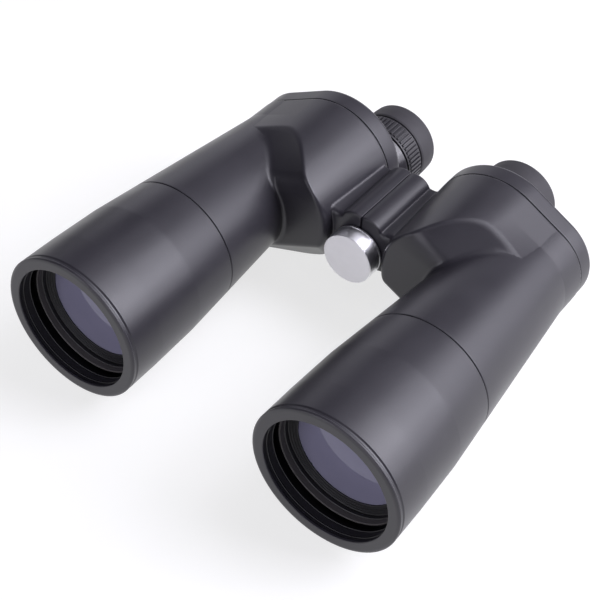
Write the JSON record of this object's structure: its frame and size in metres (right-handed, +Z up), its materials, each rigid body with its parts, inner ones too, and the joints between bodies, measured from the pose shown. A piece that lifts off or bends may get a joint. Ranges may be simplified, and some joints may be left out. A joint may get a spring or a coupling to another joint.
{
  "type": "binoculars",
  "caption": "Full-size Porro prism binoculars with deep objective hoods, prism housings joined by a folding hinge with a silver cap, ribbed focus rings and rubber eyecups.",
  "frame": {"origin": "on the surface the binoculars lie on, below the middle of their length and on the hinge's vertical plane", "axes": "+Z up, objectives towards -Y, eyepieces towards +Y, right-hand half (as the user looks through) towards +X"},
  "size_m": [0.21, 0.2184, 0.0732],
  "materials": {
    "housing_paint": "matte",
    "black_anodised": "satin",
    "grey_anodised": "matte",
    "satin_aluminium": "satin",
    "steel": "satin",
    "brass": "satin",
    "rubber": "matte",
    "coated_glass": "polished",
    "prism_glass": "polished"
  },
  "bodies": {
    "left_half": {"left_objective_barrel": "housing_paint", "left_objective_cell": "black_anodised", "left_cell_retaining_ring": "grey_anodised", "left_objective_crown_lens": "coated_glass", "left_objective_flint_lens": "coated_glass", "left_lens_lock_ring": "black_anodised", "left_prism_housing": "housing_paint", "left_rear_cover": "housing_paint", "left_cover_screw_1": "steel", "left_cover_screw_2": "steel", "left_cover_screw_3": "steel", "left_prism_shelf": "black_anodised", "left_rear_prism": "prism_glass", "left_rear_prism_strap": "steel", "left_front_prism": "prism_glass", "left_front_prism_strap": "steel", "left_eyepiece_guide": "housing_paint", "hinge_axle": "steel", "front_hinge_washer": "steel", "rear_hinge_washer": "steel", "hinge_tension_nut": "steel", "eye_distance_disc": "housing_paint", "disc_screw": "steel"},
    "right_half": {"right_objective_barrel": "housing_paint", "right_objective_cell": "black_anodised", "right_cell_retaining_ring": "grey_anodised", "right_objective_crown_lens": "coated_glass", "right_objective_flint_lens": "coated_glass", "right_lens_lock_ring": "black_anodised", "right_prism_housing": "housing_paint", "right_rear_cover": "housing_paint", "right_cover_screw_1": "steel", "right_cover_screw_2": "steel", "right_cover_screw_3": "steel", "right_prism_shelf": "black_anodised", "right_rear_prism": "prism_glass", "right_rear_prism_strap": "steel", "right_front_prism": "prism_glass", "right_front_prism_strap": "steel", "right_eyepiece_guide": "housing_paint", "front_hinge_bush": "brass", "rear_hinge_bush": "brass"},
    "tripod_cap": {"tripod_socket_cap": "satin_aluminium"},
    "left_ocular": {"left_ocular_tube": "black_anodised", "left_field_lens": "coated_glass", "left_eye_lens": "coated_glass", "left_eye_lens_lock_ring": "black_anodised"},
    "left_focus_grip": {"left_focus_ring": "black_anodised", "left_eyecup": "rubber"},
    "right_ocular": {"right_ocular_tube": "black_anodised", "right_field_lens": "coated_glass", "right_eye_lens": "coated_glass", "right_eye_lens_lock_ring": "black_anodised"},
    "right_focus_grip": {"right_focus_ring": "black_anodised", "right_eyecup": "rubber"}
  },
  "joints": [
    {"name": "fold", "type": "hinge", "parent": "left_half", "child": "right_half", "pos_m": [0, 0, 0.0365], "axis": [0, 1, 0], "range_deg": [0, 52]},
    {"name": "tripod_cap_unscrew", "type": "slide", "parent": "left_half", "child": "tripod_cap", "axis": [0, -1, 0], "range_m": [0, 0.012]},
    {"name": "left_focus_travel", "type": "slide", "parent": "left_half", "child": "left_ocular", "axis": [0, 1, 0], "range_m": [0, 0.0035]},
    {"name": "left_focus", "type": "hinge", "parent": "left_ocular", "child": "left_focus_grip", "pos_m": [-0.0358, 0, 0.0282], "axis": [0, 1, 0], "range_deg": [0, 240]},
    {"name": "right_focus_travel", "type": "slide", "parent": "right_half", "child": "right_ocular", "axis": [0, 1, 0], "range_m": [0, 0.0035]},
    {"name": "right_focus", "type": "hinge", "parent": "right_ocular", "child": "right_focus_grip", "pos_m": [0.0358, 0, 0.0282], "axis": [0, 1, 0], "range_deg": [0, 240]}
  ],
  "couplings": [
    {"joint": "left_focus", "follows": "left_focus_travel", "rad_per_m": 1196.7},
    {"joint": "right_focus", "follows": "right_focus_travel", "rad_per_m": 1196.7}
  ]
}
